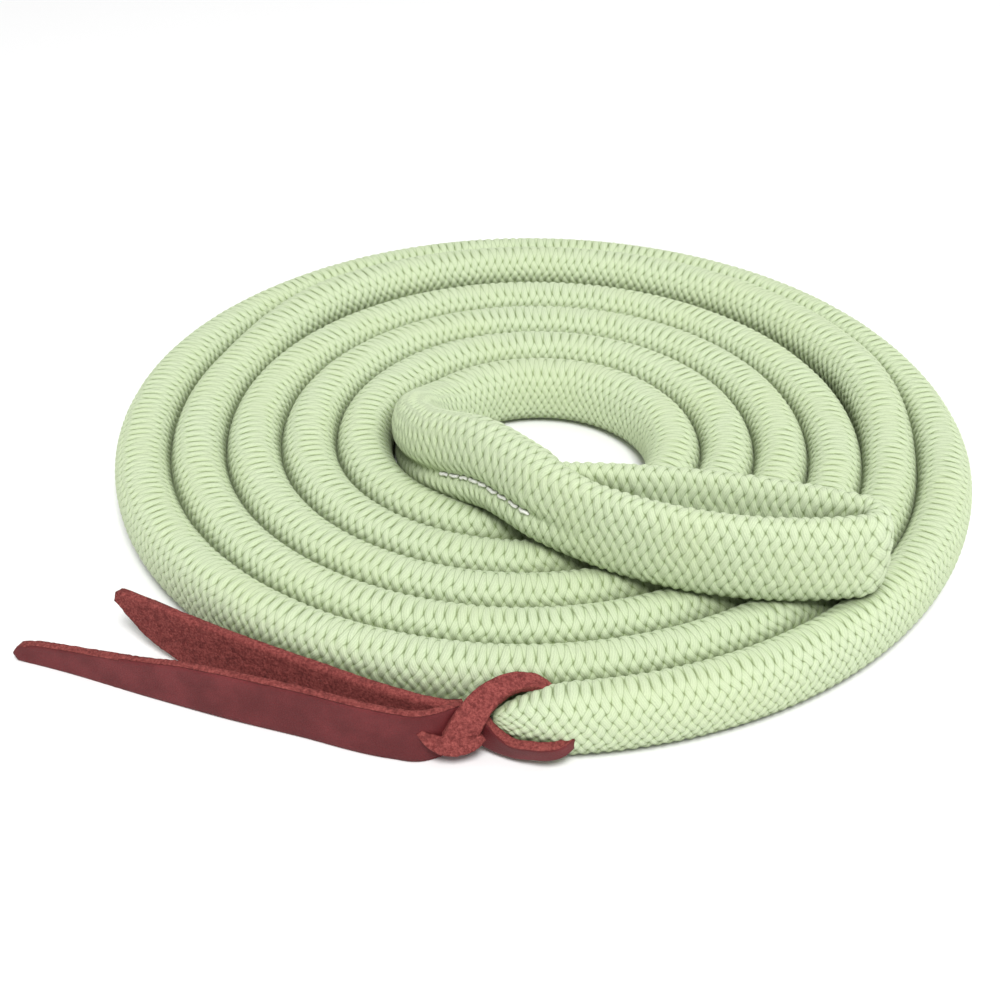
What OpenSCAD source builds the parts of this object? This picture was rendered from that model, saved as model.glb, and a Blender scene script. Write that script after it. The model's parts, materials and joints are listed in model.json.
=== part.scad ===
// Coiled braided lead rope with a spliced eye at one end and a leather popper at
// the other. Millimetres, +Z up. The origin is the middle of the coil on the ground.
// The rope is soft: it is built as a chain of short lengths, each turning on an upright
// pin in the cup of the one before, so that the coil can be loosened.

/* [Rope] */
// Height of the rope as it lies in the coil
rope_h = 18.6; // [17:0.2:19]
// Width of the rope where the turns press together
rope_w = 14.2; // [12:0.2:14.4]
// Height pressed flat on the underside, where the rope lies on the ground
sole_cut = 0.3; // [0.1:0.1:1]

/* [Coil] */
// Number of rope lengths in the coil
length_count = 39; // [30:1:39]
// Angle that each length turns through
length_turn = 51.9; // [51:0.1:52.5]
// Bend radius at the free end of the rope
coil_radius = 128.1; // [126:0.1:134]
// Bend radius lost in each full turn
turn_pitch = 16.3; // [16.2:0.05:16.8]
// Swing of the bend radius that shifts the inner turns forwards
drift = 0.53; // [0:0.01:0.55]
// Direction in which the swing is largest
drift_heading = 190; // [180:1:200]
// Free end of the rope, left to right
tip_x = -12; // [-14:0.5:-10]
// Free end of the rope, front to back
tip_y = -124.3; // [-126:0.1:-122]
// Heading of the rope at its free end
tip_heading = -3.2; // [-5:0.1:-1]
// Radius of the knuckle between two rope lengths
knuckle_radius = 4.5; // [3.5:0.25:5]
// Gap between a knuckle and its cup
cup_gap = 0.4; // [0.3:0.05:0.6]
// Distance that each rope length stops short of its joint
joint_gap = 1.3; // [1.2:0.1:1.8]
// Length of the taper at the free end
taper_length = 24; // [18:1:30]
// Radius of the rounded point of the taper
taper_point = 3; // [2:0.5:4]

/* [Splice] */
// Height of the splice
splice_h = 26; // [24:0.5:27]
// Width of the splice
splice_w = 13; // [12:0.2:13.4]
// Height of the splice's underside above the ground where it rests on the coil
deck_z = 19.3; // [19.1:0.1:20]
// Radius of the bend that leaves the coil
lead_radius = 38; // [37:0.5:39]
// Radius of the bend that follows it, under the stitches
sweep_radius = 50; // [46:1:54]
// Diameter of the rope tail buried in the splice
tail_d = 9; // [7:0.5:9.5]
// Length of the buried tail
tail_length = 42; // [36:1:44]
// Number of stitches on each side of the splice
stitch_count = 6; // [5:1:7]
// Length of one stitch
stitch_length = 3.4; // [2.5:0.1:3.6]
// Thread diameter
thread_d = 1.2; // [0.8:0.1:1.4]

/* [Eye] */
// Thickness of the flattened rope round the eye
band_w = 7.5; // [6:0.5:8]
// Height of the flattened rope round the eye
band_h = 23.4; // [21:0.2:24]
// Throat of the eye, left to right
throat_x = 3; // [2:0.5:4]
// Throat of the eye, front to back
throat_y = -65.5; // [-67:0.5:-64]
// Bend radius of the front leg
front_leg_radius = 92; // [88:1:96]
// Bend radius of the back leg
back_leg_radius = 208; // [195:1:220]
// Angle that the back leg turns through
back_turn = 20; // [19:0.5:20.5]
// Angle that the front leg turns through
front_turn = 52; // [51.5:0.5:52.5]
// Bend radius at the end of the eye
eye_end_radius = 4.6; // [4.4:0.1:5]
// Radius of the round root of the eye
disc_radius = 9; // [8:0.5:9.5]

/* [Popper] */
// Thickness of the leather
leather_t = 2.8; // [2:0.2:3]
// Height of the leather tails
tail_h = 15; // [12:0.5:16]
// Length of the front tail
front_tail_length = 118; // [100:1:122]
// Length of the rear tail
rear_tail_length = 97; // [80:1:99]
// Radius of the leather loop through the rope end
loop_radius = 7.2; // [7:0.1:7.4]
// Height of the leather loop
loop_h = 7; // [5:0.5:8]

/* [Hidden] */
$fn = 48;
mid_z = rope_h / 2 - sole_cut;
two_digits = function (n) str(n < 10 ? "0" : "", n);
rope_name = function (i) str("rope_", two_digits(i + 1));
ROPE = [for (i = [0 : length_count - 1]) rope_name(i)];

rope_green = [0.78, 0.86, 0.68];
thread_white = [0.96, 0.96, 0.92];
leather_red = [0.45, 0.21, 0.22];

// ---- The path of the rope, seen from above ----
function left_of(a) = [-sin(a), cos(a)];
function heading(i) = tip_heading + i * length_turn;
function bend_radius(i) = coil_radius - turn_pitch * (i + 0.5) * length_turn / 360
    + drift * cos(heading(i) + length_turn / 2 - 90 - drift_heading);
// The end of an arc that starts at p with heading h and turns left by a
function arc_end(p, h, r, a) = p + r * left_of(h) - r * left_of(h + a);
start = [tip_x, tip_y];
pivots = [for (i = 0, p = start; i <= length_count;
    p = arc_end(p, heading(i), bend_radius(i), length_turn), i = i + 1) p];

// The lead-in leaves the coil level, then climbs on to the coil in straight runs
lead_start = pivots[length_count];
lead_heading = heading(length_count);
lead_turns = [2.5, 14, 38, 60];
sweep_turn = 20;
lead_bend = [for (t = lead_turns) arc_end(lead_start, lead_heading, lead_radius, t)];
deck_start = arc_end(lead_bend[3], lead_heading + lead_turns[3], sweep_radius, sweep_turn);
throat = [throat_x, throat_y];
deck_run = throat - deck_start;
deck_length = norm(deck_run);
deck_heading = atan2(deck_run[1], deck_run[0]);
// The splice is level from its crest to the throat; climb is the share of the height
// gained at each point of the lead-in
crest_share = 0.3;
crest = deck_start + deck_run * crest_share;
lead_in = concat(lead_bend, [deck_start, crest]);
climb = [0, 0, 0.24, 0.54, 0.94, 1];
lead_z = climb * deck_z;
last = len(lead_in) - 1;

// The two legs of the eye; each starts leg_skip clear of its root
front_heading = -42;
front_end = arc_end(throat, front_heading, front_leg_radius, front_turn);
bend_heading = front_heading + front_turn;
bend_turn = 148;
back_start = arc_end(front_end, bend_heading, eye_end_radius, bend_turn);
back_heading = bend_heading + bend_turn;
leg_skip = 6;
back_root = arc_end(back_start, back_heading, back_leg_radius, back_turn);
eye_heading = -12;
eye_mid_z = deck_z + band_h / 2;
// Radius of the hollow in the splice's end, in which the eye tips up
throat_hollow = splice_h - band_h / 2 + 0.3;

// ---- Outlines ----
// The rope's outline: round above and below, pressed flat at the sides and the sole
module rope_outline() {
    intersection() {
        translate([0, mid_z]) circle(d = rope_h);
        translate([-rope_w / 2, 0]) square([rope_w, rope_h]);
    }
}
// A tall band with its four corners cut off
module band_outline(w, h) {
    c = w * 0.3;
    x = w / 2;
    z = h / 2;
    polygon([[x, c - z], [x, z - c], [x - c, z], [c - x, z], [-x, z - c], [-x, c - z],
        [c - x, -z], [x - c, -z]]);
}
// An outline swept round an arc that starts at p with heading h and turns left by a
module sweep_arc(p, h, r, a) {
    c = p + r * left_of(h);
    translate([c[0], c[1], 0]) rotate([0, 0, h - 90])
        rotate_extrude(angle = a, $fn = 96) translate([r, 0]) children();
}
// An upright pin at p, which the next rope length turns on
module knuckle(p) {
    translate([p[0], p[1], 1.6]) cylinder(h = rope_h - 4, r = knuckle_radius);
}
module cup(p) {
    translate([p[0], p[1], -1]) cylinder(h = rope_h + 2, r = knuckle_radius + cup_gap);
}
// A straight run of band from a to b, whose underside climbs from za to zb
module band_run(a, b, za, zb, w, h) {
    d = b - a;
    run = norm(d);
    slope = atan2(zb - za, run);
    translate([a[0], a[1], za + h / 2]) rotate([0, 0, atan2(d[1], d[0])])
        rotate([0, -slope, 0]) rotate([90, 0, 90])
            linear_extrude(height = run / cos(slope)) band_outline(w, h);
}
// An upright post that joins two runs
module post(p, z, r, h) {
    translate([p[0], p[1], z]) cylinder(h = h, r = r);
}

// ---- Coil ----
module rope_length(i) {
    trim = joint_gap / bend_radius(i) * 180 / PI;
    from = arc_end(pivots[i], heading(i), bend_radius(i), trim);
    color(rope_green) difference() {
        union() {
            sweep_arc(from, heading(i) + trim, bend_radius(i), length_turn - 2 * trim)
                rope_outline();
            knuckle(pivots[i]);
        }
        cup(pivots[i + 1]);
    }
}
// The first length ends in a tapered point with a slot for the leather loop
module rope_tip() {
    taper_turn = taper_length / coil_radius * 180 / PI;
    trim = joint_gap / coil_radius * 180 / PI;
    from = arc_end(start, heading(0), bend_radius(0), taper_turn);
    color(rope_green) difference() {
        union() {
            sweep_arc(from, heading(0) + taper_turn, bend_radius(0), length_turn - taper_turn - trim)
                rope_outline();
            translate([from[0], from[1], mid_z]) rotate([0, 0, heading(0) + taper_turn / 2 + 180])
                rotate([0, 90, 0])
                    cylinder(h = taper_length, r1 = rope_w / 2 - 0.1, r2 = taper_point);
        }
        cup(pivots[1]);
        leather_ring(leather_t + 0.6, loop_h + 0.6);
    }
}

// ---- Splice ----
module splice_cover() {
    color(rope_green) difference() {
        union() {
            for (k = [0 : last - 1])
                band_run(lead_in[k], lead_in[k + 1], lead_z[k], lead_z[k + 1], splice_w, splice_h);
            for (k = [1 : last])
                post(lead_in[k], lead_z[k] + 1, splice_w / 2 + 0.2, splice_h - 2);
            band_run(crest, throat, deck_z, deck_z, splice_w, splice_h);
            knuckle(lead_start);
        }
        in_splice(deck_length - tail_length, 0) rotate([0, 90, 0])
            cylinder(h = tail_length * 2, d = tail_d + 0.4);
        for (side = [-1, 1])
            in_splice(stitch_start - 1, side * splice_w / 2)
                translate([0, -thread_d, -thread_d])
                    cube([stitch_run + 2, 2 * thread_d, 2 * thread_d]);
        throat_disc(throat_hollow, 3 * splice_w);
    }
}
// The round root of the eye, which tips up in the cupped end of the splice
module throat_disc(r, w) {
    translate([throat[0], throat[1], eye_mid_z]) rotate([0, 0, eye_heading]) rotate([90, 0, 0])
        cylinder(h = w, r = r, center = true);
}
// A place in the level part of the splice: s along it and t to its left
module in_splice(s, t) {
    translate([deck_start[0], deck_start[1], deck_z + splice_h / 2])
        rotate([0, 0, deck_heading]) translate([s, t, 0]) children();
}
stitch_pitch = stitch_length + 0.8;
stitch_run = stitch_count * stitch_pitch - 0.8;
stitch_start = deck_length - throat_hollow - 2 - stitch_run;
module buried_tail() {
    color(rope_green) in_splice(deck_length - tail_length + 0.5, 0) rotate([0, 90, 0])
        cylinder(h = tail_length - throat_hollow - 1, d = tail_d);
}
module stitch_thread() {
    color(thread_white) for (side = [-1, 1])
        for (k = [0 : stitch_count - 1])
            in_splice(stitch_start + k * stitch_pitch, side * (splice_w / 2 - thread_d / 4))
                rotate([0, 90, 0]) cylinder(h = stitch_length, d = thread_d);
}

// ---- Eye ----
module leg_outline() {
    translate([0, deck_z + band_h / 2]) band_outline(band_w, band_h);
}
module eye_front_leg() {
    skip = leg_skip / front_leg_radius * 180 / PI;
    p = arc_end(throat, front_heading, front_leg_radius, skip);
    color(rope_green) difference() {
        union() {
            throat_disc(disc_radius, band_w - 1);
            sweep_arc(p, front_heading + skip, front_leg_radius, front_turn - skip - 0.1)
                leg_outline();
            post(front_end, deck_z + 3, band_w / 2 - 0.5, band_h - 6);
            sweep_arc(front_end, bend_heading, eye_end_radius, bend_turn / 2 - 3)
                leg_outline();
        }
        post(back_root, deck_z - 1, root_radius + cup_gap, band_h + 2);
    }
}
root_radius = band_w / 2 + 0.3;
module eye_back_leg() {
    half = bend_turn / 2 + 3;
    p = arc_end(front_end, bend_heading, eye_end_radius, half);
    color(rope_green) {
        sweep_arc(p, bend_heading + half, eye_end_radius, bend_turn - half - 2) leg_outline();
        post(back_start, deck_z + 3, band_w / 2 - 0.5, band_h - 6);
        sweep_arc(back_start, back_heading, back_leg_radius, back_turn) leg_outline();
        post(back_root, deck_z + 1, root_radius, band_h - 2);
    }
}

// ---- Popper ----
// The loop stands round the free end; the knot lies beyond it and carries both tails
loop_inset = [5, -2];
loop_x = tip_x + loop_inset[0];
loop_y = tip_y + loop_inset[1];
knot_size = [12, 15, 16];
knot_clear = 0.5;
knot = [loop_x - 11.5, loop_y - 2];
hinge_gap = 2.4;
hinge_x = knot[0] - knot_size[0] / 2 - hinge_gap;
front_hinge = [hinge_x, knot[1] - 2.7];
rear_hinge = [hinge_x, knot[1] + 4.2];
front_tail_heading = 160;
rear_tail_heading = 154.5;
// Depth to which the knot and the loop run into each other
fuse = 0.4;
// The leather loop: a flat ring round the rope's point and through its slot
module leather_ring(t, h) {
    translate([loop_x, loop_y, mid_z - h / 2]) difference() {
        cylinder(h = h, r = loop_radius + t / 2, $fn = 96);
        translate([0, 0, -1]) cylinder(h = h + 2, r = loop_radius - t / 2, $fn = 96);
    }
}
module popper_loop() {
    color(leather_red) {
        leather_ring(leather_t, loop_h);
        difference() {
            translate([knot[0] - knot_size[0] / 2, knot[1] - knot_size[1] / 2, knot_clear])
                cube(knot_size);
            translate([loop_x, loop_y, -1])
                cylinder(h = knot_size[2] + 4, r = loop_radius + leather_t / 2 - fuse);
        }
    }
}
// A leather tail: a strip on edge, with a pivot at its root
module leather_strip(hinge, heading, outline) {
    translate([hinge[0], hinge[1], 0]) rotate([0, 0, heading]) {
        rotate([90, 0, 0]) translate([0, 0, -leather_t / 2])
            linear_extrude(height = leather_t) polygon(outline);
        cylinder(h = tail_h - 0.2, d = leather_t - 0.1);
    }
}
// The front tail narrows to a slanting end
module popper_front_tail() {
    n = front_tail_length;
    outline = [[0, 0], [n, 0], [n, tail_h * 0.13], [n * 0.96, tail_h * 0.6],
        [n * 0.91, tail_h * 0.7], [n * 0.52, tail_h], [0, tail_h]];
    color(leather_red) leather_strip(front_hinge, front_tail_heading, outline);
}
// The rear tail curls up off the ground towards its end
module popper_rear_tail() {
    n = rear_tail_length;
    outline = [[0, 0], [n * 0.78, 0], [n, tail_h * 0.67], [n, tail_h],
        [n * 0.9, tail_h * 1.07], [0, tail_h]];
    color(leather_red) leather_strip(rear_hinge, rear_tail_heading, outline);
}

rope_tip();
for (i = [1 : length_count - 1]) {
    rope_length(i);
}
splice_cover();
buried_tail();
stitch_thread();
eye_front_leg();
eye_back_leg();
popper_loop();
popper_front_tail();
popper_rear_tail();
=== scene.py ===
"""Looks for the coiled braided lead rope: braid, spliced eye, stitching and leather popper."""
import json
import math

import bpy
import numpy as np
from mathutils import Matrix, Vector, noise


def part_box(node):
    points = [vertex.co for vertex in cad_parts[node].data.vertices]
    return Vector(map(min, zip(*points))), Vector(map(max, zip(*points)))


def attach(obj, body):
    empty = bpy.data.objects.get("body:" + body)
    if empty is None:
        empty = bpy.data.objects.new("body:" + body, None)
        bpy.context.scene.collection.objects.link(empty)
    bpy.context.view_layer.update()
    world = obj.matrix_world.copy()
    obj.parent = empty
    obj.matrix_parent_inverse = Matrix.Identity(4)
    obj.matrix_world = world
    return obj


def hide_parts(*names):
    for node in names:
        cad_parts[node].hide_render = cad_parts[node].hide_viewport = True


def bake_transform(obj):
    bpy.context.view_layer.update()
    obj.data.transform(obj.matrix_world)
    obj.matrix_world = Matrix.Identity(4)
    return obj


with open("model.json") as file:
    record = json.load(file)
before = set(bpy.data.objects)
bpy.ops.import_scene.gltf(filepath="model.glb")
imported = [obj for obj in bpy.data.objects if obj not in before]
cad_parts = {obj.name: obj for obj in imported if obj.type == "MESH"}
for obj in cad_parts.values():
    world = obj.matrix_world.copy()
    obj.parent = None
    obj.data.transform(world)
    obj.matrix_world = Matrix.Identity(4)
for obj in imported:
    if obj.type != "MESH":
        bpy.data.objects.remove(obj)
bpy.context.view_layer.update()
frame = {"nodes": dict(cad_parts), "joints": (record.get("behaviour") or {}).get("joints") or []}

MM = 0.001
JOINTS = {j["name"]: j for j in frame["joints"]}
BEND_NAMES = sorted(n for n in JOINTS if n.startswith("bend_")) + ["uncoil"]
LENGTH_NAMES = sorted(n for n in frame["nodes"] if n.startswith("rope_"))

# ---- Sizes, in millimetres ----
ROWS = 18               # rows of braid cells round the rope, leaning left and right by turns
CELL = 2.9              # length of one cell along the rope
RING_STEP = 0.45        # distance between rings of vertices
AROUND = ROWS * 9       # vertices round one ring
ROPE_H = 18.3           # height of the rope in the coil
ROPE_W_MAX = 17.8       # width where it isn't pressed
ROPE_W_LEAST = 13.6     # width where the turns press on it most
SPLICE_H = 26.0         # height and width of the splice
SPLICE_W = 14.0
BAND_H = 23.8           # height and width of the flattened rope round the eye
BAND_W = 8.4
DECK_Z = 19.2           # underside of the splice and eye where they rest on the coil
GROOVE_AT = 0.38        # height of the groove between the splice's two lobes, as a share
GROOVE_DEPTH = 2.4      # how far it draws the sides in
LEAD_BENDS = ((38.0, 60.0), (50.0, 26.0))   # radius and angle of the bends that lead into the splice
LEAD_PLACES = (0.12, 0.42, 0.68, 1.0)       # places along those bends, as shares
LEAD_CLIMB = (0.0, 0.10, 0.29, 0.66)        # share of the climb that is done at each
FRONT_LEG = (92.0, -42.0, 52.0)             # radius, heading at the throat and angle of the front leg
BACK_LEG = (208.0, 22.0)                    # radius and angle of the back leg
EYE_END = (4.6, 148.0)                      # radius and angle of the eye's end
RIDE_TURNS = (1.32, 1.62)                   # turns from the free end between which the rope rides up
RIDE_RAMP = 0.55        # angle over which it rises and falls, in radians
RIDE_OUT = 2.6          # how far it moves out there, and how far up
RIDE_UP = 3.6
TIP_TO_LOOP = (-5.4, 2.3)                   # from the leather loop's middle to the rope's free end
TAPER = 21.0            # length of the rope's tapered end
TAPER_POINT = 0.14      # size of its blunt point, as a share of the rope


def joint_point(name):
    """A joint's place seen from above, in millimetres."""
    return np.array(JOINTS[name]["pos_m"][:2]) / MM


def smooth(x, a, b):
    """0 before a, 1 after b, smooth between."""
    t = np.clip((x - a) / (b - a), 0, 1)
    return t * t * (3 - 2 * t)


def window(x, a, b, ramp):
    """1 between a and b, 0 beyond, with smooth ramps."""
    return smooth(x, a - ramp, a) * (1 - smooth(x, b, b + ramp))


def turned(v, degrees):
    """The vector v turned left."""
    a = math.radians(degrees)
    return np.array([v[0] * math.cos(a) - v[1] * math.sin(a), v[0] * math.sin(a) + v[1] * math.cos(a)])


# ---- The rope's centreline ----
def circle_tangent(a, b, c):
    """Direction at b of the circle through a, b and c."""
    ab, bc = b - a, c - b
    la, lb = np.linalg.norm(ab), np.linalg.norm(bc)
    d = ab / la * lb + bc / lb * la
    return d / np.linalg.norm(d)


def bezier_arc(p, q, tp, tq, steps):
    """A cubic from p to q with end directions tp and tq that follows a circle's arc."""
    turn = math.acos(np.clip(tp @ tq, -1, 1))
    handle = np.linalg.norm(q - p) / (3 * math.cos(turn / 4) ** 2)
    t = np.linspace(0, 1, steps, endpoint=False)[:, None]
    a, b = p + tp * handle, q - tq * handle
    return (1 - t) ** 3 * p + 3 * (1 - t) ** 2 * t * a + 3 * (1 - t) * t ** 2 * b + t ** 3 * q


def arc(p, direction, radius, turn, step=0.5):
    """Points along an arc from p that turns left by turn degrees, and the direction at its end."""
    d = np.array(direction) / np.linalg.norm(direction)
    centre = p + radius * np.array([-d[1], d[0]])
    n = max(4, int(abs(math.radians(turn)) * radius / step))
    angles = np.linspace(0, turn, n, endpoint=False)
    points = np.array([centre + turned(p - centre, a) for a in angles])
    return points, centre + turned(p - centre, turn), turned(d, turn)


def plan_path():
    """The whole rope seen from above: the coil, the lead-in, the splice and round the eye."""
    tip = joint_point("popper_swing") + np.array(TIP_TO_LOOP)
    nodes = [tip] + [joint_point(n) for n in BEND_NAMES]
    tangents = [circle_tangent(nodes[i - 1], nodes[i], nodes[i + 1]) for i in range(1, len(nodes) - 1)]
    first_turn = math.degrees(math.acos(np.clip(tangents[0] @ tangents[1], -1, 1)))
    tangents.insert(0, turned(tangents[0], -first_turn))
    tangents.append(turned(tangents[-1], first_turn))
    runs = [bezier_arc(nodes[i], nodes[i + 1], tangents[i], tangents[i + 1], 200)
            for i in range(len(nodes) - 1)]
    lead, deck_start, direction = [], nodes[-1], tangents[-1]
    for radius, turn in LEAD_BENDS:
        points, deck_start, direction = arc(deck_start, direction, radius, turn)
        lead.append(points)
    lead = np.vstack(lead)
    throat = joint_point("eye_lift")
    radius, heading, turn = FRONT_LEG
    front, front_end, direction = arc(throat, turned((1, 0), heading), radius, turn)
    bend, bend_end, direction = arc(front_end, direction, *EYE_END, 0.25)
    back, back_end, direction = arc(bend_end, direction, *BACK_LEG)
    deck = deck_start + np.linspace(0, 1, 100, endpoint=False)[:, None] * (throat - deck_start)
    marks = {"coil": sum(len(r) for r in runs)}
    marks["deck"] = marks["coil"] + len(lead)
    marks["throat"] = marks["deck"] + len(deck)
    marks["bend"] = marks["throat"] + len(front)
    marks["back"] = marks["bend"] + len(bend)
    points = np.vstack(runs + [lead, deck, front, bend, back, back_end[None]])
    return points, marks


def resample(points, distance):
    """Values of points at the given distances along them."""
    s = np.concatenate([[0], np.cumsum(np.linalg.norm(np.diff(points, axis=0), axis=1))])
    return np.stack([np.interp(distance, s, points[:, k]) for k in range(points.shape[1])], 1)


def soften(values, reach):
    """A moving average over reach samples each side, with the first and last value held beyond the ends."""
    kernel = np.hanning(2 * reach + 3)[1:-1]
    kernel /= kernel.sum()
    padded = np.pad(values, ((reach, reach),) + ((0, 0),) * (values.ndim - 1), mode="edge")
    return np.apply_along_axis(np.convolve, 0, padded, kernel, "valid")


def build_path():
    """Rings along the rope: distance, place, underside and half-width of each; and where things are."""
    plan, marks = plan_path()
    run = np.concatenate([[0], np.cumsum(np.linalg.norm(np.diff(plan, axis=0), axis=1))])
    at = {k: run[i] for k, i in marks.items()}
    s = np.linspace(0, run[-1], int(run[-1] / RING_STEP) + 1)
    xy = resample(plan, s)
    # The lead-in and the deck run into each other without a corner
    mix = window(s, at["deck"] - 15, at["throat"] + 4, 8)[:, None]
    xy = xy * (1 - mix) + soften(xy, 16) * mix
    azimuth = np.unwrap(np.arctan2(xy[:, 1], xy[:, 0]))
    radius = np.linalg.norm(xy, axis=1)
    coil = s < at["coil"] - 5
    turn = 2 * math.pi
    a, r = azimuth[coil], radius[coil]
    # The second turn rides up on the first at the back
    raised = window(a, a[0] + RIDE_TURNS[0] * turn, a[0] + RIDE_TURNS[1] * turn, RIDE_RAMP)
    r = r + RIDE_OUT * raised
    xy[coil] *= (r / radius[coil])[:, None]
    # Half-width: half the gap to the neighbouring turns, up to the rope's free width
    inner = r - np.interp(a + turn, a, r)
    outer = np.interp(a - turn, a, r) - r
    inner[a > a[-1] - turn] = ROPE_W_MAX
    outer[a < a[0] + turn] = ROPE_W_MAX
    half = np.full(len(s), ROPE_W_MAX / 2)
    freed = 3.5         # width that the raised turn gains on its outer side
    seam_gap = 0.15
    half[coil] = np.minimum(np.minimum(inner, outer + freed * raised), ROPE_W_MAX) / 2 - seam_gap
    half = soften(half, 60)
    z = np.zeros(len(s))
    z[coil] = RIDE_UP * raised
    # The rope climbs along the lead-in, and the rest of the way over the first half of the deck
    lead = at["deck"] - at["coil"]
    crest = at["deck"] + (at["throat"] - at["deck"]) / 2
    climb = np.interp(s, at["coil"] + lead * np.array(LEAD_PLACES), LEAD_CLIMB)
    climb = climb + (1 - LEAD_CLIMB[-1]) * smooth(s, at["deck"] - 4, crest)
    return s, xy, z + DECK_Z * soften(climb, 16), half, at


# ---- Cross-sections ----
def even_loop(x, z):
    """A closed outline resampled to AROUND + 1 evenly spaced points."""
    loop = np.stack([np.append(x, x[0]), np.append(z, z[0])], 1)
    total = np.linalg.norm(np.diff(loop, axis=0), axis=1).sum()
    return resample(loop, np.linspace(0, total, AROUND + 1))


def oval_loop(w, h, power, pinch=0.0):
    """An upright superellipse w by h, its sides drawn in at the groove by pinch. It starts at the left."""
    t = np.linspace(0, 2 * math.pi, 1440, endpoint=False)
    c, n = np.cos(t), np.sin(t)
    x = np.sign(c) * np.abs(c) ** (2 / power) * w / 2
    z = np.sign(n) * np.abs(n) ** (2 / power) * h / 2
    from_groove = (z - (GROOVE_AT - 0.5) * h) / (h * 0.1)
    x = x - np.sign(c) * pinch * np.exp(-np.abs(from_groove) ** 1.5) * np.minimum(1, np.abs(x) / (w * 0.3))
    return even_loop(x, z)


ROPE_LOOP = oval_loop(2.0, ROPE_H, 2.25)
SPLICE_LOOP = oval_loop(SPLICE_W, SPLICE_H, 2.4, GROOVE_DEPTH)
BAND_LOOP = oval_loop(BAND_W, BAND_H, 2.6)


BODY = 0.70             # height of a strand's rounded back, in millimetres
WAVE = 0.24             # how far a strand rises and dives
STRAND_HALF = 0.62      # half the width of a strand, in cells; over a half, so that strands touch


def weave(x, y):
    """Height, in millimetres, of a plain two-strand braid at x cells along and y strands round."""
    u, v = x + y, x - y
    i, j = np.round(u), np.round(v)

    def strand(across, wave):
        return BODY * np.clip(1 - np.abs(across / STRAND_HALF) ** 2, 0, 1) + WAVE * wave

    a = strand(v - j, np.cos(math.pi * (u + j)))
    b = strand(u - i, -np.cos(math.pi * (v + i)))
    return np.maximum(a, b)


def rope_surface():
    """The whole rope: rings x (AROUND + 1) vertices in millimetres, their UVs, and where things are."""
    s, xy, z, half, at = build_path()
    t = np.gradient(np.column_stack([xy, z]), s, axis=0)
    t /= np.linalg.norm(t, axis=1)[:, None]
    flat = np.stack([-t[:, 1], t[:, 0]], 1)
    flat /= np.linalg.norm(flat, axis=1)[:, None]
    side = np.column_stack([flat, np.zeros(len(s))])
    up = np.cross(side, -t)
    up *= np.sign(up[:, 2])[:, None]
    # The section is the rope's in the coil, the splice's on the deck and the band's round the eye
    deck = s > at["deck"]
    splice = window(s, at["coil"] + 42, at["throat"] - 6, 40)
    splice[deck] = 1 - smooth(s[deck], at["throat"] - 6, at["throat"] + 14)
    band = smooth(s, at["throat"] - 7, at["throat"] + 5)
    rope = 1 - np.clip(splice + band, 0, 1)
    total = rope + splice + band
    rope, splice, band = rope / total, splice / total, band / total
    wide = np.maximum(half, ROPE_W_LEAST / 2)
    loops = (rope[:, None, None] * ROPE_LOOP * np.stack([wide, np.ones(len(s))], 1)[:, None, :]
             + splice[:, None, None] * SPLICE_LOOP + band[:, None, None] * BAND_LOOP)
    # The free end narrows to a blunt point
    taper = TAPER_POINT + (1 - TAPER_POINT) * np.sin(np.clip(s / TAPER, 0, 1) * math.pi / 2) ** 0.75
    loops *= taper[:, None, None]
    tall = rope * ROPE_H + splice * SPLICE_H + band * BAND_H
    middle = z + tall / 2 + (1 - taper) * 0.4
    centre = np.column_stack([xy, middle])
    surface = (centre[:, None] + loops[..., :1] * side[:, None] + loops[..., 1:] * up[:, None])
    x = s / CELL
    y = np.linspace(0, ROWS / 2, AROUND + 1)
    slow = 0.25 * np.sin(s / 61.0) + 0.2 * np.sin(s / 23.0 + 1.0)
    gx, gy = np.meshgrid(x, y, indexing="ij")
    # No two cells are quite alike
    lap = 4 * math.pi / ROWS
    gx, gy = (gx + 0.07 * np.sin(3 * lap * gy + 0.83 * gx) + 0.05 * np.sin(5 * lap * gy - 1.31 * gx),
              gy + 0.05 * np.sin(2 * lap * gy + 1.07 * gx) + 0.04 * np.sin(4 * lap * gy - 1.71 * gx)
              + slow[:, None])
    du = np.gradient(surface, axis=0)
    dv = np.gradient(surface, axis=1)
    dv[:, 0] = dv[:, -1] = surface[:, 1] - surface[:, -2]
    normal = np.cross(du, dv)
    normal /= np.maximum(np.linalg.norm(normal, axis=2), 1e-9)[..., None]
    outward = np.sign(np.sum(normal * (surface - centre[:, None]), axis=2).mean())
    height = weave(gx, gy) - 0.5
    end_fade = smooth(s, 0, 6)[:, None]
    surface = surface + normal * outward * (height * (0.35 + 0.65 * end_fade))[..., None]
    # Nothing goes below the ground
    low = window(s, 0, at["coil"] + 4, 1)[:, None] * 0.02
    surface[..., 2] = np.where(surface[..., 2] < low, low, surface[..., 2])
    return surface, gx, gy, s, at


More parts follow.
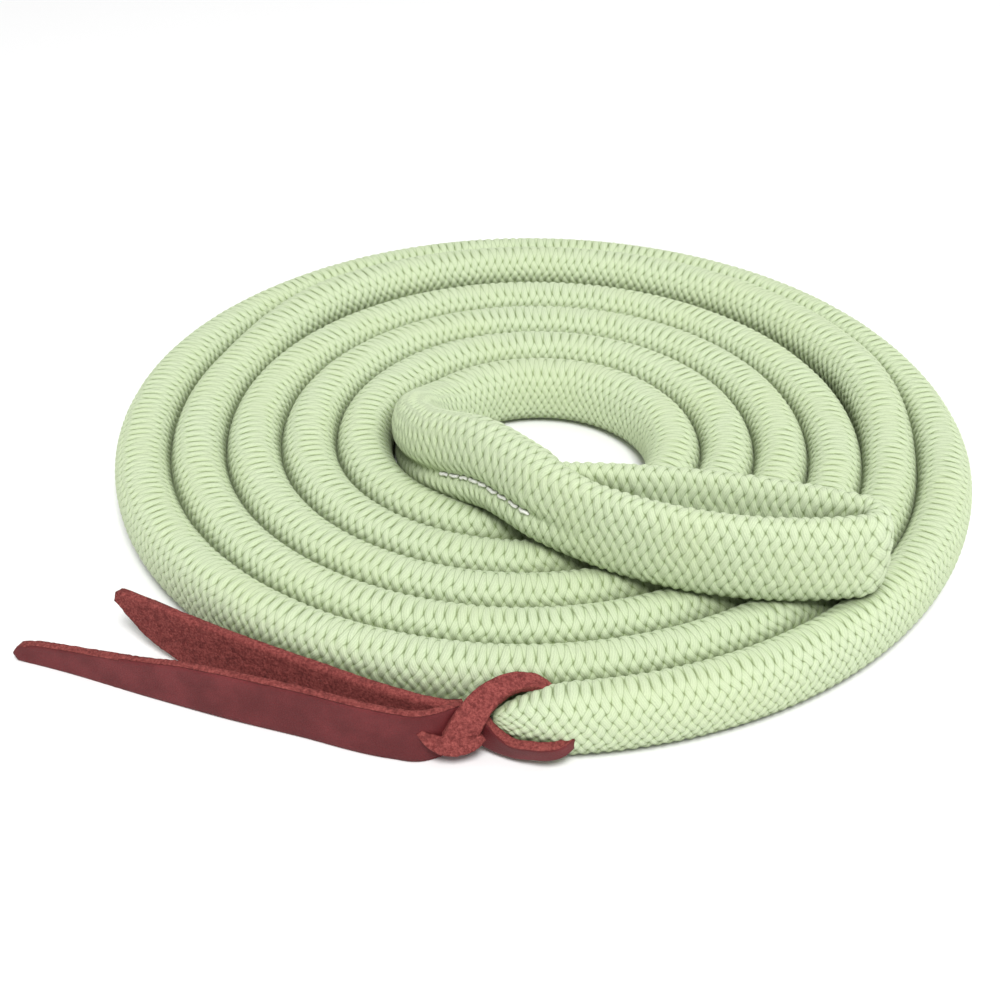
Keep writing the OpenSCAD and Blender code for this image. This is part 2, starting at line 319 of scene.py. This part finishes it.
# ---- Meshes ----
def tube_mesh(name, surface, gx, gy, cap_start=False, cap_end=False):
    """A tube from rings of vertices. The first and last column are the same place."""
    rings, cols = surface.shape[0], surface.shape[1] - 1
    verts = surface[:, :cols].reshape(-1, 3) * MM
    i, j = np.meshgrid(np.arange(rings - 1), np.arange(cols), indexing="ij")
    k = (j + 1) % cols
    quads = np.stack([i * cols + j, i * cols + k, (i + 1) * cols + k, (i + 1) * cols + j], -1)
    quads = quads.reshape(-1, 4)
    corners = ((i, j, j), (i, j, j + 1), (i + 1, j, j + 1), (i + 1, j, j))
    uv = np.stack([np.stack([gx[row, x], gy[row, y]], -1) for row, x, y in corners], 2).reshape(-1, 2)
    mesh = bpy.data.meshes.new(name)
    loops, starts, totals = quads.ravel(), np.arange(len(quads)) * 4, np.full(len(quads), 4)
    ends = [(cap_start, 0, False), (cap_end, (rings - 1) * cols, True)]
    for wanted, base, forward in ends:
        if wanted:
            ring = base + np.arange(cols)
            ring = ring if forward else ring[::-1]
            centre = verts[base:base + cols].mean(0)
            verts = np.vstack([verts, centre])
            tip = len(verts) - 1
            nxt = np.roll(ring, -1)
            tris = np.stack([ring, nxt, np.full(cols, tip)], 1)
            starts = np.concatenate([starts, len(loops) + np.arange(cols) * 3])
            totals = np.concatenate([totals, np.full(cols, 3)])
            loops = np.concatenate([loops, tris.ravel()])
            row = 0 if not forward else rings - 1
            tri_uv = np.stack([gx[row, 0] + np.zeros(cols * 3), np.repeat(gy[row, :cols], 3)], 1)
            uv = np.vstack([uv, tri_uv])
    mesh.vertices.add(len(verts))
    mesh.vertices.foreach_set("co", verts.astype(np.float32).ravel())
    mesh.loops.add(len(loops))
    mesh.loops.foreach_set("vertex_index", loops.astype(np.int32))
    mesh.polygons.add(len(starts))
    mesh.polygons.foreach_set("loop_start", starts.astype(np.int32))
    mesh.polygons.foreach_set("loop_total", totals.astype(np.int32))
    layer = mesh.uv_layers.new(name="braid")
    layer.data.foreach_set("uv", uv.astype(np.float32).ravel())
    mesh.update(calc_edges=True)
    mesh.validate()
    mesh.shade_smooth()
    obj = bpy.data.objects.new(name, mesh)
    bpy.context.scene.collection.objects.link(obj)
    return obj


# ---- Materials ----
class Nodes:
    """Short calls for a material's node tree."""

    def __init__(self, name):
        self.material = bpy.data.materials.new(name)
        self.material.use_nodes = True
        self.tree = self.material.node_tree
        self.surface = self.tree.nodes["Principled BSDF"]

    def new(self, kind, **settings):
        node = self.tree.nodes.new(kind)
        for key, value in settings.items():
            setattr(node, key, value)
        return node

    def link(self, a, b):
        self.tree.links.new(a, b)

    def put(self, socket, value):
        if isinstance(value, bpy.types.NodeSocket):
            self.link(value, socket)
        else:
            socket.default_value = value

    def math(self, operation, a, b=0.0):
        node = self.new("ShaderNodeMath", operation=operation)
        for socket, value in zip(node.inputs, (a, b)):
            self.put(socket, value)
        return node.outputs[0]

    def noise(self, scale, detail=3.0, roughness=0.55):
        node = self.new("ShaderNodeTexNoise")
        node.inputs["Scale"].default_value = scale
        node.inputs["Detail"].default_value = detail
        node.inputs["Roughness"].default_value = roughness
        self.link(self.coordinates(), node.inputs["Vector"])
        return node.outputs[0]

    def coordinates(self):
        return self.new("ShaderNodeTexCoord").outputs["Object"]

    def mix(self, factor, a, b):
        node = self.new("ShaderNodeMix", data_type="RGBA")
        self.put(node.inputs["Factor"], factor)
        self.put(node.inputs["A"], a if not isinstance(a, tuple) else (*a, 1.0))
        self.put(node.inputs["B"], b if not isinstance(b, tuple) else (*b, 1.0))
        return node.outputs["Result"]

    def ramp(self, value, low, high):
        node = self.new("ShaderNodeMapRange", interpolation_type="SMOOTHSTEP")
        self.put(node.inputs["Value"], value)
        node.inputs["From Min"].default_value = low
        node.inputs["From Max"].default_value = high
        return node.outputs["Result"]

    def bump(self, height, distance, strength):
        node = self.new("ShaderNodeBump")
        node.inputs["Strength"].default_value = strength
        node.inputs["Distance"].default_value = distance
        self.link(height, node.inputs["Height"])
        return node.outputs["Normal"]


# Linear colours of the yarn: as dyed, painted shade for the creases, the pale fuzz that also serves as
# painted highlight on the raised backs, and warm patches
ROPE_LIGHT = (0.58, 0.70, 0.42)
ROPE_PAINTED_SHADE = (0.12, 0.17, 0.045)
ROPE_FUZZ_AND_HIGHLIGHT = (0.78, 0.86, 0.64)
ROPE_WARM = (0.62, 0.72, 0.36)


def rope_material():
    """Soft braided yarn: two families of strands, yarn lines along each, painted shade in the creases,
    between yarns and where the turns press together, a painted highlight on the strands' raised backs, pale
    fuzz.
    """
    n = Nodes("braid_green")
    uv = n.new("ShaderNodeUVMap", uv_map="braid").outputs[0]
    part = n.new("ShaderNodeSeparateXYZ")
    n.link(uv, part.inputs[0])
    u = n.math("ADD", part.outputs[0], part.outputs[1])
    v = n.math("SUBTRACT", part.outputs[0], part.outputs[1])
    i, j = n.math("ROUND", u), n.math("ROUND", v)

    def strand(across, along, sign):
        size = n.math("DIVIDE", n.math("ABSOLUTE", across), STRAND_HALF)
        body = n.math("MAXIMUM", n.math("SUBTRACT", 1.0, n.math("POWER", size, 2.0)), 0.0)
        wave = n.math("COSINE", n.math("MULTIPLY", along, math.pi))
        return n.math("ADD", n.math("MULTIPLY", body, BODY), n.math("MULTIPLY", wave, WAVE * sign))

    across_a, across_b = n.math("SUBTRACT", v, j), n.math("SUBTRACT", u, i)
    high_a = strand(across_a, n.math("ADD", u, j), 1.0)
    high_b = strand(across_b, n.math("ADD", v, i), -1.0)
    top = n.math("GREATER_THAN", high_a, high_b)
    under = n.math("SUBTRACT", 1.0, top)
    height = n.math("MAXIMUM", high_a, high_b)
    across = n.math("ADD", n.math("MULTIPLY", across_a, top), n.math("MULTIPLY", across_b, under))
    wander = n.math("MULTIPLY", n.noise(1400, 2), 0.30)
    yarns = n.math("SINE", n.math("MULTIPLY", n.math("ADD", across, wander), 2 * math.pi * 4.5))
    fuzz = n.noise(6500, 5, roughness=0.75)
    blotch = n.noise(45, 3)
    cell = n.new("ShaderNodeCombineXYZ")
    n.link(n.math("ADD", i, n.math("MULTIPLY", top, 0.25)), cell.inputs[0])
    n.link(j, cell.inputs[1])
    shade = n.new("ShaderNodeTexWhiteNoise", noise_dimensions="2D")
    n.link(cell.outputs[0], shade.inputs["Vector"])
    # Painted shade in the creases: darker where a strand dives under the next, and in the deep corners
    # between strands
    seam_shade = n.ramp(n.math("ABSOLUTE", n.math("SUBTRACT", high_a, high_b)), 0.0, 0.16)
    depth_shade = n.ramp(height, 0.20, 0.62)
    crease_shade = n.math("MULTIPLY", n.math("ADD", n.math("MULTIPLY", seam_shade, 0.50), 0.50), depth_shade)
    colour = n.mix(crease_shade, ROPE_PAINTED_SHADE, ROPE_LIGHT)
    # Painted highlight: the strands' raised backs are made paler
    painted_highlight = n.math("MULTIPLY", n.ramp(height, 0.45, 0.8), 0.45)
    colour = n.mix(painted_highlight, colour, ROPE_FUZZ_AND_HIGHLIGHT)
    # Painted shade: the grooves between the yarns are darkened
    yarn_groove_shade = n.math("MULTIPLY", n.ramp(yarns, 0.2, -1.0), 0.16)
    colour = n.mix(yarn_groove_shade, colour, ROPE_PAINTED_SHADE)
    colour = n.mix(n.math("MULTIPLY", n.ramp(fuzz, 0.48, 0.66), 0.30), colour, ROPE_FUZZ_AND_HIGHLIGHT)
    colour = n.mix(n.math("MULTIPLY", shade.outputs[0], 0.16), colour, ROPE_LIGHT)
    colour = n.mix(n.math("MULTIPLY", n.ramp(blotch, 0.35, 0.75), 0.14), colour, ROPE_WARM)
    # Painted shade: the braid is darkened by ambient occlusion where the turns press together
    occlusion_shade = n.new("ShaderNodeAmbientOcclusion", samples=6)
    occlusion_shade.inputs["Distance"].default_value = 0.009
    painted_shade_amount = n.ramp(occlusion_shade.outputs["AO"], 0.75, 0.20)
    colour = n.mix(n.math("MULTIPLY", painted_shade_amount, 0.75), colour, ROPE_PAINTED_SHADE)
    n.link(colour, n.surface.inputs["Base Color"])
    detail = n.math("ADD", n.math("MULTIPLY", yarns, 0.16), n.math("MULTIPLY", fuzz, 0.7))
    detail = n.math("ADD", detail, n.math("MULTIPLY", height, 0.8))
    n.link(n.bump(detail, 0.00040, 0.8), n.surface.inputs["Normal"])
    n.surface.inputs["Roughness"].default_value = 0.95
    n.surface.inputs["Specular IOR Level"].default_value = 0.12
    n.surface.inputs["Sheen Weight"].default_value = 0.25
    n.surface.inputs["Sheen Roughness"].default_value = 0.5
    n.surface.inputs["Sheen Tint"].default_value = (0.9, 1.0, 0.8, 1)
    return n.material


def leather_material():
    """Oiled leather: smooth dark grain where the attribute raw is 0, fibrous suede and cut edge at 1."""
    n = Nodes("leather_oxblood")
    raw = n.new("ShaderNodeAttribute", attribute_name="raw").outputs["Fac"]
    mottle = n.noise(90, 4)
    pore = n.new("ShaderNodeTexVoronoi", feature="DISTANCE_TO_EDGE")
    pore.inputs["Scale"].default_value = 1500
    n.link(n.coordinates(), pore.inputs["Vector"])
    crack = n.ramp(pore.outputs[0], 0.0, 0.12)
    grain = n.mix(n.ramp(mottle, 0.35, 0.7), (0.120, 0.017, 0.019), (0.175, 0.028, 0.031))
    grain = n.mix(n.math("MULTIPLY", n.math("SUBTRACT", 1.0, crack), 0.22), grain, (0.06, 0.010, 0.012))
    fibre = n.noise(1300, 5, roughness=0.8)
    clump = n.noise(420, 3, roughness=0.7)
    suede = n.mix(n.ramp(fibre, 0.36, 0.68), (0.18, 0.034, 0.032), (0.42, 0.105, 0.092))
    suede = n.mix(n.math("MULTIPLY", n.ramp(clump, 0.5, 0.66), 0.45), suede, (0.11, 0.020, 0.020))
    edge = n.ramp(n.math("ADD", raw, n.math("MULTIPLY", n.math("SUBTRACT", clump, 0.5), 0.5)), 0.35, 0.65)
    n.link(n.mix(edge, grain, suede), n.surface.inputs["Base Color"])
    rough = n.math("ADD", 0.55, n.math("MULTIPLY", edge, 0.40))
    n.link(rough, n.surface.inputs["Roughness"])
    smooth_side = n.math("MULTIPLY", n.math("MULTIPLY", crack, 0.10), n.math("SUBTRACT", 1.0, edge))
    rough_side = n.math("MULTIPLY", n.math("ADD", fibre, clump), edge)
    n.link(n.bump(n.math("ADD", smooth_side, rough_side), 0.0007, 0.9), n.surface.inputs["Normal"])
    n.surface.inputs["Specular IOR Level"].default_value = 0.22
    return n.material


def thread_material():
    """White waxed thread, twisted, with painted shade in the twist's grooves."""
    n = Nodes("thread_white")
    twist = n.new("ShaderNodeTexWave", wave_type="BANDS", bands_direction="DIAGONAL")
    twist.inputs["Scale"].default_value = 900
    n.link(n.coordinates(), twist.inputs["Vector"])
    # Painted shade: the twist's grooves are darker and its ridges lighter, following the bands of the bump
    colour = n.mix(twist.outputs["Fac"], (0.80, 0.80, 0.74), (0.95, 0.95, 0.92))
    n.link(colour, n.surface.inputs["Base Color"])
    n.link(n.bump(twist.outputs["Fac"], 0.0001, 0.6), n.surface.inputs["Normal"])
    n.surface.inputs["Roughness"].default_value = 0.6
    return n.material


def floor_material():
    n = Nodes("pale_floor")
    tone = n.mix(n.math("MULTIPLY", n.noise(3, 2), 0.02), (0.93, 0.93, 0.93), (0.90, 0.90, 0.90))
    n.link(tone, n.surface.inputs["Base Color"])
    n.surface.inputs["Roughness"].default_value = 0.9
    return n.material


# ---- The leather popper ----
STRAP_T = 2.8           # thickness of the leather
EDGE_POINTS = 40        # vertices round a strap's section


def curve_through(points, step=0.8):
    """A smooth curve through points of any width, the first three columns being the place."""
    p = np.array(points, float)
    length = np.concatenate([[0], np.cumsum(np.linalg.norm(np.diff(p[:, :3], axis=0), axis=1))])
    slope = np.gradient(p, length, axis=0)
    at = np.linspace(0, length[-1], int(length[-1] / step) + 2)
    k = np.clip(np.searchsorted(length, at, side="right") - 1, 0, len(p) - 2)
    gap = (length[k + 1] - length[k])[:, None]
    t = (at - length[k])[:, None] / gap
    a, b = p[k], p[k + 1]
    blend_a, blend_b = (1 + 2 * t) * (1 - t) ** 2, t * t * (3 - 2 * t)
    slope_a, slope_b = t * (1 - t) ** 2 * gap * slope[k], t * t * (1 - t) * gap * slope[k + 1]
    return blend_a * a + blend_b * b + slope_a - slope_b


def strap(name, path, grain_side, leather):
    """A leather strap. A row of path is a place, the direction that its face looks in, and its width.

    grain_side is 1 or -1 where the smooth side is the face or the back, and 0 for suede all over."""
    rows = curve_through(path)
    centre, face, width = rows[:, :3], rows[:, 3:6], rows[:, 6]
    along = np.gradient(centre, axis=0)
    along /= np.linalg.norm(along, axis=1)[:, None]
    face = face - np.sum(face * along, axis=1)[:, None] * along
    face /= np.linalg.norm(face, axis=1)[:, None]
    across = np.cross(along, face)
    # The section: a rounded rectangle, evenly spaced
    t = np.linspace(0, 2 * math.pi, 720, endpoint=False)
    squareness = 0.18
    x = np.sign(np.cos(t)) * np.abs(np.cos(t)) ** squareness
    y = np.sign(np.sin(t)) * np.abs(np.sin(t)) ** squareness
    rim = []
    for w in width:
        loop = np.stack([np.append(x, x[0]) * STRAP_T / 2, np.append(y, y[0]) * w / 2], 1)
        total = np.linalg.norm(np.diff(loop, axis=0), axis=1).sum()
        rim.append(resample(loop, np.linspace(0, total, EDGE_POINTS + 1)))
    rim = np.array(rim)
    surface = (centre[:, None] + rim[..., :1] * face[:, None] + rim[..., 1:] * across[:, None])
    raw = np.where(rim[..., 0] * grain_side > STRAP_T * 0.44, 0.0, 1.0)
    # The fibres stand up a little on the raw side and along the cut edges
    for r in range(surface.shape[0]):
        for c in range(EDGE_POINTS):
            if raw[r, c] > 0:
                spot = surface[r, c]
                push = noise.noise(Vector(spot * 0.9)) * 0.16 + noise.noise(Vector(spot * 2.7)) * 0.10
                out = rim[r, c, 0] * face[r] + rim[r, c, 1] * across[r]
                surface[r, c] += out / max(np.linalg.norm(out), 1e-6) * push
        surface[r, -1] = surface[r, 0]
    surface[..., 2] = np.maximum(surface[..., 2], 0.02)
    g, h = np.meshgrid(np.arange(surface.shape[0]), np.arange(EDGE_POINTS + 1), indexing="ij")
    obj = tube_mesh(name, surface, g, h, cap_start=True, cap_end=True)
    values = np.zeros(len(obj.data.vertices), np.float32) + 1
    values[:raw[:, :-1].size] = raw[:, :-1].ravel()
    attribute = obj.data.attributes.new("raw", "FLOAT", "POINT")
    attribute.data.foreach_set("value", values)
    obj.data.materials.append(leather)
    return obj


def upright(x, y, bottom, top, fx, fy, fz=0.0):
    """A row for a strap that stands on edge and whose face looks towards fx, fy, fz."""
    return (x, y, (bottom + top) / 2, fx, fy, fz, top - bottom)


def tail_rows(root, tip, outline, lean=0.0):
    """Rows for a tail on edge. A row of outline is a share of the way, bottom, top and bow to the left."""
    d = (tip - root) / np.linalg.norm(tip - root)
    left = np.array([-d[1], d[0]])
    rows = []
    for share, bottom, top, bow in outline:
        p = root + (tip - root) * share + left * bow
        rows.append(upright(*p, bottom, top, *left, lean * share))
    return rows


def moved(rows, origin):
    """Rows whose places are measured from origin, put where they belong."""
    return [(row[0] + origin[0], row[1] + origin[1], *row[2:]) for row in rows]


def make_tails(leather, loop):
    """The two tails stand on edge. Each leaves the slit in a bend and ends where its CAD tail ends."""
    bend = [upright(-13.4, 3.9, 1.0, 13.0, 0.75, -0.65), upright(-16.0, 1.3, 0.2, 14.2, 0.65, -0.75),
            upright(-19.4, -0.9, 0.1, 14.8, 0.35, -0.95), upright(-23.5, -2.1, 0.0, 15.0, 0.0, -1.0)]
    # The front tail narrows from its middle to a slanting point
    outline = ((0.02, 0, 15.2, 0), (0.25, 0, 15.2, 0.6), (0.45, 0, 14.6, 1.0), (0.53, 0, 13.8, 0.8),
               (0.64, 0, 11.4, 0.4), (0.78, 0, 9.0, -0.3), (0.88, 0, 7.4, -0.7), (0.95, 0, 6.2, -0.7),
               (0.985, 0.1, 4.8, -0.5), (1.0, 0.2, 2.8, -0.4))
    root, box = joint_point("front_tail_swing") + (-8, 2.9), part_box("popper_front_tail")
    tip = np.array([box[0][0], box[1][1]]) / MM + (1.4, -1.4)
    front = strap("popper_front_tail", moved(bend, loop) + tail_rows(root, tip, outline), 1, leather)
    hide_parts("popper_front_tail")
    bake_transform(front)
    bend = [upright(-12.5, 5.3, 2.0, 12.0, 0.3, -1.0), upright(-17.0, 4.3, 0.6, 13.0, 0.0, -1.0),
            upright(-21.5, 4.4, 0.1, 14.0, -0.25, -1.0)]
    # The rear tail keeps its top edge and curls off the ground
    outline = ((0.02, 0, 15.0, 0), (0.3, 0, 15.2, 0.7), (0.55, 0, 15.4, 0.9), (0.74, 0.8, 15.6, 0.4),
               (0.87, 4.8, 15.7, -0.5), (0.94, 8.8, 15.7, -1.0), (0.975, 11.0, 15.6, -1.3),
               (1.0, 12.3, 15.2, -1.5))
    root, box = joint_point("rear_tail_swing") + (-7.5, 3.2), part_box("popper_rear_tail")
    tip = np.array([box[0][0], box[1][1]]) / MM + (3.6, -1.2)
    rows = moved(bend, loop) + tail_rows(root, tip, outline, lean=0.15)
    rear = strap("popper_rear_tail", rows, -1, leather)
    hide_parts("popper_rear_tail")
    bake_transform(rear)


def make_loop(leather, loop):
    """The leather's loop through the rope's point, and the slit that it is pulled through."""
    # Out of the rope on top, round behind its point and down over the slit
    over = [(10.0, 4.5, 12.0, 0.3, 0.2, 1, 2.6), (7.6, 6.1, 15.0, -0.3, 0.1, 1, 3.2),
            (4.2, 6.7, 16.8, -0.1, -0.2, 1, 4.0), (0.2, 6.4, 17.1, 0.0, -0.4, 1, 4.8),
            (-3.8, 5.3, 16.2, -0.1, -0.6, 1, 5.6), (-7.3, 3.4, 14.5, -0.2, -0.8, 0.8, 6.5),
            (-10.3, 0.8, 12.0, -0.1, -1, 0.6, 7.4), (-12.6, -1.2, 8.8, 0.1, -1, 0.35, 8.2),
            (-13.8, -2.0, 5.8, 0.2, -1, 0.1, 8.6), (-14.2, -1.2, 3.2, 0.2, -1, -0.4, 7.6)]
    # Out of the rope at the front, round its point on edge and into the slit
    ring = [upright(13.4, -3.1, 6.0, 8.8, 0.3, -1, -0.1), upright(10.8, -5.2, 4.5, 8.3, 0.1, -1, -0.2),
            upright(7.4, -5.7, 3.5, 8.4, 0.05, -1, -0.3), upright(3.6, -4.9, 2.9, 8.2, -0.2, -1, -0.35),
            upright(0.0, -3.4, 2.0, 7.4, -0.25, -1, -0.3), upright(-3.8, -1.4, 1.8, 8.2, -0.35, -1, -0.2),
            upright(-7.4, 1.0, 2.6, 9.8, -0.4, -1, 0), upright(-10.4, 3.2, 4.2, 12.4, -0.5, -1, 0)]
    # The lip of the slit, pushed out below the loop
    lip = [(-23.0, -2.2, 9.6, -0.3, -1, 0.5, 1.8), (-21.2, -2.7, 7.6, -0.1, -1, 0.6, 3.0),
           (-18.6, -3.2, 6.0, 0.0, -1, 0.7, 4.2), (-15.2, -3.4, 5.4, 0.0, -1, 0.7, 4.6),
           (-12.2, -3.1, 5.6, 0.1, -1, 0.7, 4.2), (-9.6, -2.5, 6.3, 0.2, -1, 0.6, 3.0),
           (-7.8, -1.7, 7.2, 0.3, -1, 0.5, 1.6)]
    for name, rows, grain_side in (("over_strap", over, 0), ("ring_strap", ring, 1), ("slit_lip", lip, 0)):
        piece = strap("popper_" + name, moved(rows, loop), grain_side, leather)
        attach(piece, "popper")
        if rows is over:
            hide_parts("popper_loop")


# ---- Stitches along the splice's groove ----
def groove_place(surface, row, side):
    """The bottom of the splice's groove at a ring, on one side, and the direction out of it."""
    ring = surface[row, :-1]
    low, high = ring[:, 2].min(), ring[:, 2].max()
    along = surface[row + 2, 0] - surface[row - 2, 0]
    outward = np.array([-along[1], along[0], 0]) / np.hypot(along[0], along[1]) * side
    from_groove = np.abs(ring[:, 2] - (low + GROOVE_AT * (high - low)))
    on_side = (ring - ring.mean(0)) @ outward > 0
    return ring[int(np.argmin(np.where(on_side, from_groove, high)))], outward


def thread_tube(spots, radius, verts, faces, sides=8):
    """Adds a closed tube along spots, thin at both ends, to verts and faces."""
    along = np.gradient(spots, axis=0)
    along /= np.linalg.norm(along, axis=1)[:, None]
    last = len(spots) - 1
    for r, spot in enumerate(spots):
        a = np.cross(along[r], (0, 0, 1))
        b = np.cross(along[r], a)
        thin = radius * (0.35 if r in (0, last) else 1)
        base = len(verts)
        for q in range(sides):
            turn = 2 * math.pi * q / sides
            verts.append((spot + thin * (math.cos(turn) * a + math.sin(turn) * b)) * MM)
            if r:
                nxt = (q + 1) % sides
                faces.append((base - sides + q, base - sides + nxt, base + nxt, base + q))
        if r == 0:
            faces.append(tuple(base + q for q in range(sides)))
        elif r == last:
            faces.append(tuple(base + q for q in reversed(range(sides))))


def make_stitches(surface, s, at):
    """A row of lock stitches in the groove on each side of the splice, up to the throat."""
    count, pitch, length, radius = 9, 4.3, 3.9, 0.55
    spots_each = 9
    standing_out, sunk = 0.62, 0.55
    first = int(np.searchsorted(s, at["throat"] - 42))
    verts, faces = [], []
    for side in (-1, 1):
        for k in range(count):
            spots = []
            for share in np.linspace(0, 1, spots_each):
                row = first + int((k * pitch + length * share) / RING_STEP)
                spot, outward = groove_place(surface, row, side)
                # A stitch dives into the rope at both ends
                spots.append(spot + outward * (standing_out - sunk * abs(2 * share - 1) ** 4))
            thread_tube(soften(np.array(spots), 2), radius, verts, faces)
    mesh = bpy.data.meshes.new("stitching")
    mesh.from_pydata([tuple(v) for v in verts], [], faces)
    mesh.shade_smooth()
    obj = bpy.data.objects.new("stitching", mesh)
    bpy.context.scene.collection.objects.link(obj)
    mesh.materials.append(thread_material())
    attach(obj, "splice")
    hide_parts("stitch_thread")


# ---- The rope's pieces ----
def make_rope():
    surface, gx, gy, s, at = rope_surface()
    braid = rope_material()
    pivots = [joint_point(n) for n in BEND_NAMES]
    # The ring nearest to each joint, looked for in order, no more than one length ahead
    centre = surface[:, :-1].mean(1)[:, :2]
    longest = int(150 / RING_STEP)
    where, start = [], 0
    for p in pivots:
        k = start + int(np.argmin(np.linalg.norm(centre[start:start + longest] - p, axis=1)))
        where.append(k)
        start = k + 10
    # Pieces of the coil are cut halfway between joints
    middles = [(a + b) // 2 for a, b in zip(where[:-1], where[1:])]

    def ring_at(mark, beyond):
        return int(np.searchsorted(s, at[mark] + beyond))

    cuts = [where[0] // 2] + middles + [ring_at("coil", 12)]
    throat_in, throat_out = ring_at("throat", -11), ring_at("throat", 13)
    bend_in, bend_out = ring_at("bend", -22), ring_at("back", 26)

    def piece(name, a, b, **caps):
        obj = tube_mesh(name, surface[a:b + 1], gx[a:b + 1], gy[a:b + 1], **caps)
        obj.data.materials.append(braid)
        return obj

    def spot(k):
        return tuple(surface[k, :-1].mean(0) * MM)

    tip = piece("rope_tip", 0, cuts[0], cap_start=True)
    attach(tip, LENGTH_NAMES[0])
    for k, (outer, inner) in enumerate(zip(LENGTH_NAMES, LENGTH_NAMES[1:] + ["splice"])):
        obj = piece(f"rope_run_{k + 1:02d}", cuts[k], cuts[k + 1])
        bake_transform(obj)
        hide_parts(outer)
    splice = piece("splice", cuts[-1], throat_in)
    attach(splice, "splice")
    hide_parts("splice_cover", "buried_tail")
    throat = piece("eye_throat", throat_in, throat_out)
    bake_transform(throat)
    front = piece("eye_front", throat_out, bend_in)
    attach(front, "eye_front")
    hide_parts("eye_front_leg")
    end = piece("eye_end", bend_in, bend_out)
    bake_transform(end)
    back = piece("eye_back", bend_out, len(s) - 1, cap_end=True)
    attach(back, "eye_back")
    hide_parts("eye_back_leg")
    make_stitches(surface, s, at)


def make_stage():
    """A wide pale floor, a white surround, a large lamp in front and a weak one from the right."""
    size = 30.0
    mesh = bpy.data.meshes.new("floor")
    corners = [(-size, -size, 0), (size, -size, 0), (size, size, 0), (-size, size, 0)]
    mesh.from_pydata(corners, [], [(0, 1, 2, 3)])
    floor = bpy.data.objects.new("floor", mesh)
    bpy.context.scene.collection.objects.link(floor)
    mesh.materials.append(floor_material())
    world = bpy.data.worlds.new("soft_white")
    world.use_nodes = True
    world.node_tree.nodes["Background"].inputs[0].default_value = (1, 1, 1, 1)
    world.node_tree.nodes["Background"].inputs[1].default_value = 0.42
    bpy.context.scene.world = world
    lamps = (("key", (0.15, -1.5, 2.4), 76, 1.0), ("fill", (0.8, 0.3, 0.8), 2, 0.9))
    for name, position, power, width in lamps:
        light = bpy.data.lights.new(name, "AREA")
        light.energy = power
        light.size = width
        lamp = bpy.data.objects.new(name, light)
        lamp.location = position
        lamp.rotation_mode = "QUATERNION"
        lamp.rotation_quaternion = (-Vector(position)).to_track_quat("-Z", "Y")
        bpy.context.scene.collection.objects.link(lamp)


def make_camera():
    """The photograph's view: from the front, looking down at the coil."""
    pitch = 34.5
    camera = bpy.data.cameras.new("camera")
    camera.lens = 58.2
    camera.clip_start = 0.01
    camera.clip_end = 100
    obj = bpy.data.objects.new("camera", camera)
    obj.location = (-0.0108, -0.416, 0.274)
    obj.rotation_euler = (math.radians(90 - pitch), 0, 0)
    bpy.context.scene.collection.objects.link(obj)
    bpy.context.scene.camera = obj
    bpy.context.scene.view_settings.view_transform = "Standard"


make_rope()
popper_leather = leather_material()
make_tails(popper_leather, joint_point("popper_swing"))
make_loop(popper_leather, joint_point("popper_swing"))
make_stage()
make_camera()
